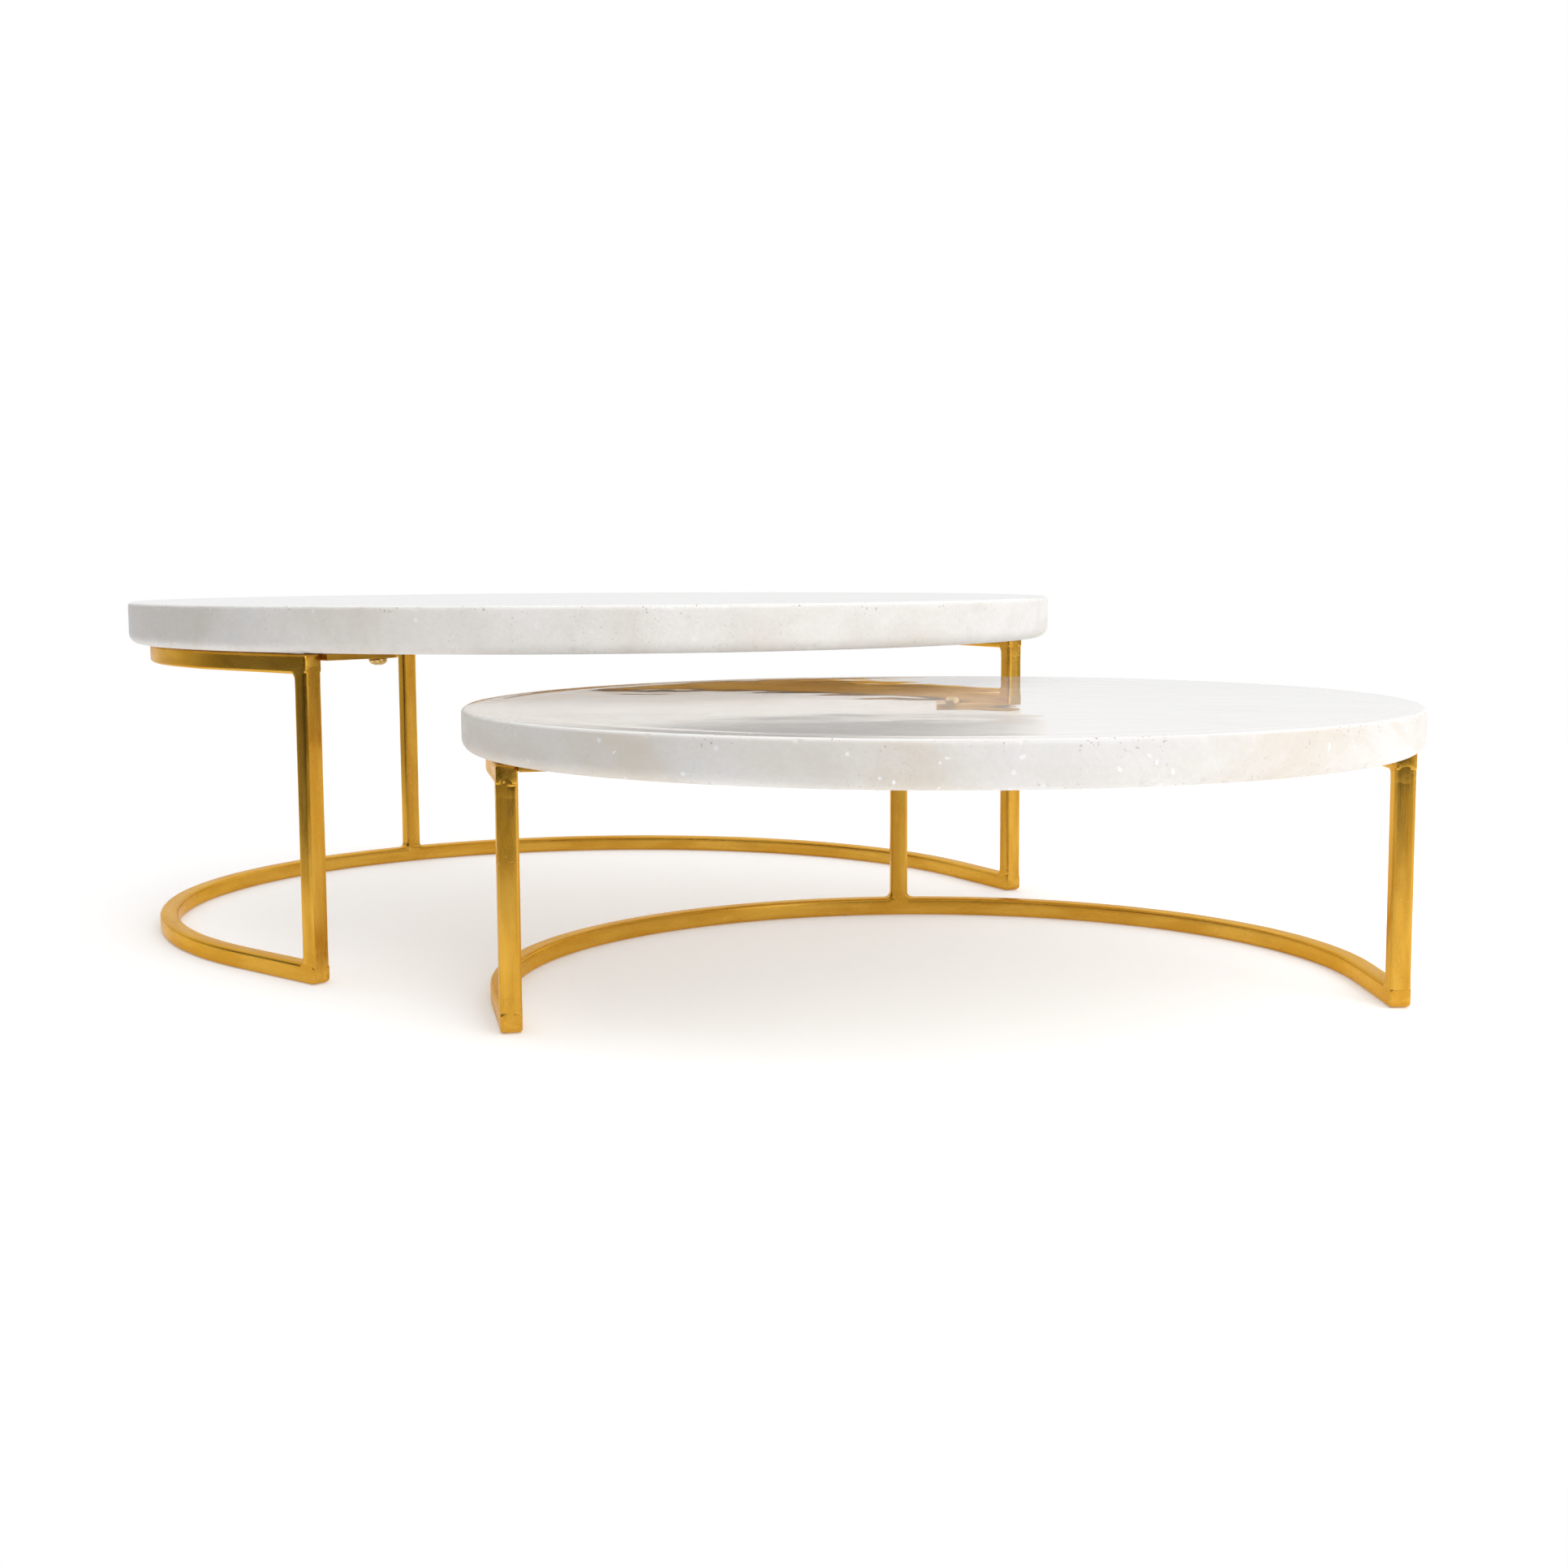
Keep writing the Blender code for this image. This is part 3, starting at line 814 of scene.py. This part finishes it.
def tab(table, where, look):
    """The tongue that carries a screw, with eased edges and a clear hole."""
    name = f"{table.name}_{where}_tab"
    low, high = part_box(name)
    thick = high.z - low.z
    screw_low, screw_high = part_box(f"{table.name}_{where}_screw")
    hole = np.array([(screw_low.x + screw_high.x) / 2, (screw_low.y + screw_high.y) / 2])
    inward = table.outward[where] + math.pi
    spot = table.spots[where]
    toward = np.array([math.cos(inward), math.sin(inward)])
    reach = float((hole - spot) @ toward)
    across = np.array([-toward[1], toward[0]])
    wide = coordinates(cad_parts[name].data)[:, :2] @ across
    half = (wide.max() - wide.min()) / 2
    outline = [(table.half - SINK, half), (table.half - SINK, -half)]
    for k in range(25):
        angle = math.radians(-90.0 + 7.5 * k)
        outline.append((reach + half * math.cos(angle), half * math.sin(angle)))
    bore = (screw_high.x - screw_low.x) / 2 * TAB_BORE
    turns = np.linspace(0, 2 * math.pi, 33)[:-1]
    hole_outline = [(reach + bore * math.cos(a), bore * math.sin(a)) for a in turns]
    data = bpy.data.curves.new(f"{name}_plate", "CURVE")
    data.dimensions = "2D"
    data.fill_mode = "BOTH"
    data.extrude = thick / 2 - TAB_EASE
    data.bevel_depth = TAB_EASE
    data.bevel_resolution = 2
    data.offset = -TAB_EASE
    for loop in (outline, hole_outline):
        spline = data.splines.new("POLY")
        spline.points.add(len(loop) - 1)
        for point, (x, y) in zip(spline.points, loop):
            point.co = (x, y, 0.0, 1.0)
        spline.use_cyclic_u = True
    curve = bpy.data.objects.new(f"{name}_plate", data)
    bpy.context.scene.collection.objects.link(curve)
    graph = bpy.context.evaluated_depsgraph_get()
    mesh = bpy.data.meshes.new_from_object(curve.evaluated_get(graph), depsgraph=graph)
    bpy.data.objects.remove(curve)
    place = Matrix.Translation((*spot, (low.z + high.z) / 2)) @ Matrix.Rotation(inward, 4, "Z")
    mesh.transform(place)
    shape = bmesh.new()
    shape.from_mesh(mesh)
    bmesh.ops.remove_doubles(shape, verts=shape.verts, dist=0.00001)
    bmesh.ops.recalc_face_normals(shape, faces=shape.faces)
    shape.to_mesh(mesh)
    shape.free()
    mesh.materials.clear()
    mesh.materials.append(look)
    mesh.shade_smooth()
    mesh.set_sharp_from_angle(angle=math.radians(40))
    piece = bpy.data.objects.new(f"{name}_plate", mesh)
    bpy.context.scene.collection.objects.link(piece)
    points = coordinates(mesh)
    store(piece, "grain", points, "FLOAT_VECTOR")
    near = np.linalg.norm(points[:, :2] - spot, axis=1)
    store(piece, "heat", 0.35 + 0.65 * (1.0 - smoothstep(near, 0.004, 0.016)))
    return finish_piece(piece, table.name, "tab_brass", name)


def screw(table, where, look):
    """A pan-headed screw, head down, with a cross recess in its domed head."""
    name = f"{table.name}_{where}_screw"
    low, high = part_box(name)
    middle = ((low.x + high.x) / 2, (low.y + high.y) / 2)
    head_r = (high.x - low.x) / 2
    shank_r = head_r * SHANK
    head_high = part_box(f"{table.name}_{where}_tab")[0].z - low.z - HEAD_GAP
    head = low.z + head_high
    tip = high.z
    profile = [(0.0, low.z)]
    for k in range(13):
        angle = math.radians(90.0 * k / 12)
        profile.append((head_r * math.sin(angle) ** 0.8, low.z + head_high * 0.78 * (1 - math.cos(angle))))
    profile += [(head_r, head - 0.0002), (head_r - 0.0002, head), (shank_r, head)]
    profile += [(shank_r, tip - 0.0006), (shank_r * 0.7, tip), (0.0, tip)]
    mesh = bpy.data.meshes.new(f"{name}_turned")
    outline = [(r, 0.0, z) for r, z in profile[::-1]]
    mesh.from_pydata(outline, [(i, i + 1) for i in range(len(outline) - 1)], [])
    piece = bpy.data.objects.new(f"{name}_turned", mesh)
    bpy.context.scene.collection.objects.link(piece)
    turn = piece.modifiers.new("turn", "SCREW")
    turn.axis = "Z"
    turn.steps = turn.render_steps = 64
    turn.use_merge_vertices = True
    turn.merge_threshold = 0.00001
    apply_modifiers(piece)
    outwards(piece)
    recess = bpy.data.meshes.new("recess")
    shape = bmesh.new()
    box_into(shape, (0, 0, low.z), np.eye(3), (head_r * 0.56, head_r * 0.12, head_high * 0.5))
    shape.to_mesh(recess)
    shape.free()
    for angle in (0.0, math.pi / 2):
        cutter = bpy.data.objects.new("recess", recess)
        cutter.rotation_euler = (0.0, 0.0, angle)
        bpy.context.scene.collection.objects.link(cutter)
        cut = piece.modifiers.new("recess", "BOOLEAN")
        cut.solver = "MANIFOLD"
        cut.object = cutter
        apply_modifiers(piece)
        bpy.data.objects.remove(cutter)
    turned = Matrix.Rotation(table.outward[where] + SLOT_TURN, 4, "Z")
    piece.data.transform(Matrix.Translation((*middle, 0.0)) @ turned)
    piece.data.materials.clear()
    piece.data.materials.append(look)
    piece.data.shade_smooth()
    piece.data.set_sharp_from_angle(angle=math.radians(35))
    return finish_piece(piece, table.name, "screw_brass", name)


# ---------------------------------------------------------------- studio


def floor():
    """A plain pale floor round the tables that gives off a little light, so that it burns out to white."""
    mesh = bpy.data.meshes.new("floor")
    sideways = (-FLOOR_REACH["left"], FLOOR_REACH["right"])
    inwards = (-FLOOR_REACH["near"], FLOOR_REACH["far"])
    corners = [(0, 0), (1, 0), (1, 1), (0, 1)]
    points = [sideways[a] * Vector(RIGHT) + inwards[b] * Vector(AWAY) for a, b in corners]
    mesh.from_pydata(points, [], [(0, 1, 2, 3)])
    look = Look("floor_paper")
    tone = look.noise(look.place(), 3.0, 2.0)
    look.set(base_color=look.mix(tone, (0.90, 0.90, 0.90), (0.92, 0.92, 0.92)))
    look.shader.inputs["Roughness"].default_value = 0.9
    look.shader.inputs["Specular IOR Level"].default_value = 0.1
    look.shader.inputs["Emission Color"].default_value = (1.0, 1.0, 1.0, 1.0)
    look.shader.inputs["Emission Strength"].default_value = FLOOR_GLOW
    mesh.materials.append(look.material)
    made = bpy.data.objects.new("floor", mesh)
    made.location = (0.0, 0.0, -FLOOR_DROP)
    bpy.context.scene.collection.objects.link(made)


def camera():
    """Low and close, at about 53 degrees round from the front, looking a little down."""
    data = bpy.data.cameras.new("camera")
    data.sensor_width = 36.0
    data.lens = CAMERA_LENS
    data.clip_start = 0.01
    data.clip_end = 200.0
    made = bpy.data.objects.new("camera", data)
    bpy.context.scene.collection.objects.link(made)
    level = Vector((math.cos(CAMERA_HEADING), math.sin(CAMERA_HEADING), 0.0))
    forward = math.cos(CAMERA_DOWN) * level - Vector((0.0, 0.0, math.sin(CAMERA_DOWN)))
    right = Vector((math.sin(CAMERA_HEADING), -math.cos(CAMERA_HEADING), 0.0))
    below = forward.cross(right)
    turned_right = math.cos(CAMERA_ROLL) * right + math.sin(CAMERA_ROLL) * below
    turned_below = math.cos(CAMERA_ROLL) * below - math.sin(CAMERA_ROLL) * right
    matrix = Matrix((turned_right, -turned_below, -forward)).transposed().to_4x4()
    matrix.translation = CAMERA_PLACE
    made.matrix_world = matrix
    bpy.context.scene.camera = made


def area(name, place, aim, size, power, colour=(1.0, 1.0, 1.0)):
    data = bpy.data.lights.new(name, "AREA")
    data.shape = "RECTANGLE"
    data.size, data.size_y = size
    data.energy = power
    data.color = colour
    made = bpy.data.objects.new(name, data)
    made.location = place
    made.rotation_euler = (Vector(aim) - Vector(place)).to_track_quat("-Z", "Y").to_euler()
    bpy.context.scene.collection.objects.link(made)


def studio():
    """Soft light from the right and above, bright white behind, and a dim room towards the camera."""
    world = bpy.data.worlds.new("studio")
    bpy.context.scene.world = world
    world.use_nodes = True
    tree = world.node_tree
    tree.nodes.clear()

    def node(kind, **settings):
        made = tree.nodes.new(kind)
        for key, value in settings.items():
            setattr(made, key, value)
        return made

    facing = node("ShaderNodeTexCoord").outputs["Generated"]

    def lobe(direction, low, high, strength):
        """A soft patch of light centred on a direction."""
        dot = node("ShaderNodeVectorMath", operation="DOT_PRODUCT")
        tree.links.new(facing, dot.inputs[0])
        dot.inputs[1].default_value = Vector(direction).normalized()
        span = node("ShaderNodeMapRange", interpolation_type="SMOOTHSTEP")
        tree.links.new(dot.outputs["Value"], span.inputs["Value"])
        for key, value in (("From Min", low), ("From Max", high), ("To Min", 0.0), ("To Max", strength)):
            span.inputs[key].default_value = value
        return span.outputs["Result"]

    lobes = [lobe(*values) for values in ROOM_LIGHT]
    total = lobes[0]
    for extra in lobes[1:]:
        plus = node("ShaderNodeMath", operation="ADD")
        tree.links.new(total, plus.inputs[0])
        tree.links.new(extra, plus.inputs[1])
        total = plus.outputs[0]
    everywhere = node("ShaderNodeMath", operation="ADD")
    tree.links.new(total, everywhere.inputs[0])
    everywhere.inputs[1].default_value = ROOM_DIM
    room = node("ShaderNodeBackground")
    tree.links.new(everywhere.outputs[0], room.inputs["Strength"])
    room.inputs["Color"].default_value = (1.0, 1.0, 1.0, 1.0)
    seen = node("ShaderNodeBackground")
    seen.inputs["Color"].default_value = (1.0, 1.0, 1.0, 1.0)
    mix = node("ShaderNodeMixShader")
    out = node("ShaderNodeOutputWorld")
    tree.links.new(node("ShaderNodeLightPath").outputs["Is Camera Ray"], mix.inputs[0])
    tree.links.new(room.outputs[0], mix.inputs[1])
    tree.links.new(seen.outputs[0], mix.inputs[2])
    tree.links.new(mix.outputs[0], out.inputs["Surface"])
    area("key", (1.16, -0.26, 1.00), (0.0, 0.0, 0.05), (1.0, 1.0), KEY_POWER, (1.0, 0.99, 0.975))
    area("fill", (0.95, 0.20, 0.24), (0.0, 0.0, 0.05), (0.40, 0.36), FILL_POWER)
    area("top", (0.2, -0.1, 1.9), (0.0, 0.0, 0.0), (2.0, 2.0), TOP_POWER)
    scene = bpy.context.scene
    scene.view_settings.view_transform = "Standard"
    scene.view_settings.look = "None"


# ---------------------------------------------------------------- the pair

camera()
studio()
floor()

plate = brass_look("tab_brass", 0.80, 0.36)
screw_metal = turned_look("screw_brass", (0.76, 0.53, 0.20), 0.26)
insert_metal = turned_look("insert_brass", (0.70, 0.50, 0.20), 0.38)
for number, name in enumerate(TABLES):
    table = Table(name)
    seed = 100 * (number + 1)
    stone = stone_look(f"{name}_stone", (3.0 * number, 1.7 * number, 0.0), *STONE_TONES[name])
    slab(table, stone, seed)
    brass = brass_look(f"{name}_frame_brass")
    ring(table, "lower", table.half, brass, seed + 10)
    ring(table, "upper", table.upper_middle, brass, seed + 20)
    for place, where in enumerate(LEGS):
        leg(table, where, brass, seed + 30 + place)
        tab(table, where, plate)
        screw(table, where, screw_metal)
        weld(table, where, "lower", brass, seed + 40 + 10 * place)
        weld(table, where, "upper", brass, seed + 45 + 10 * place)
        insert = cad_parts[f"{name}_{where}_insert"]
        insert.data.materials.clear()
        insert.data.materials.append(insert_metal)
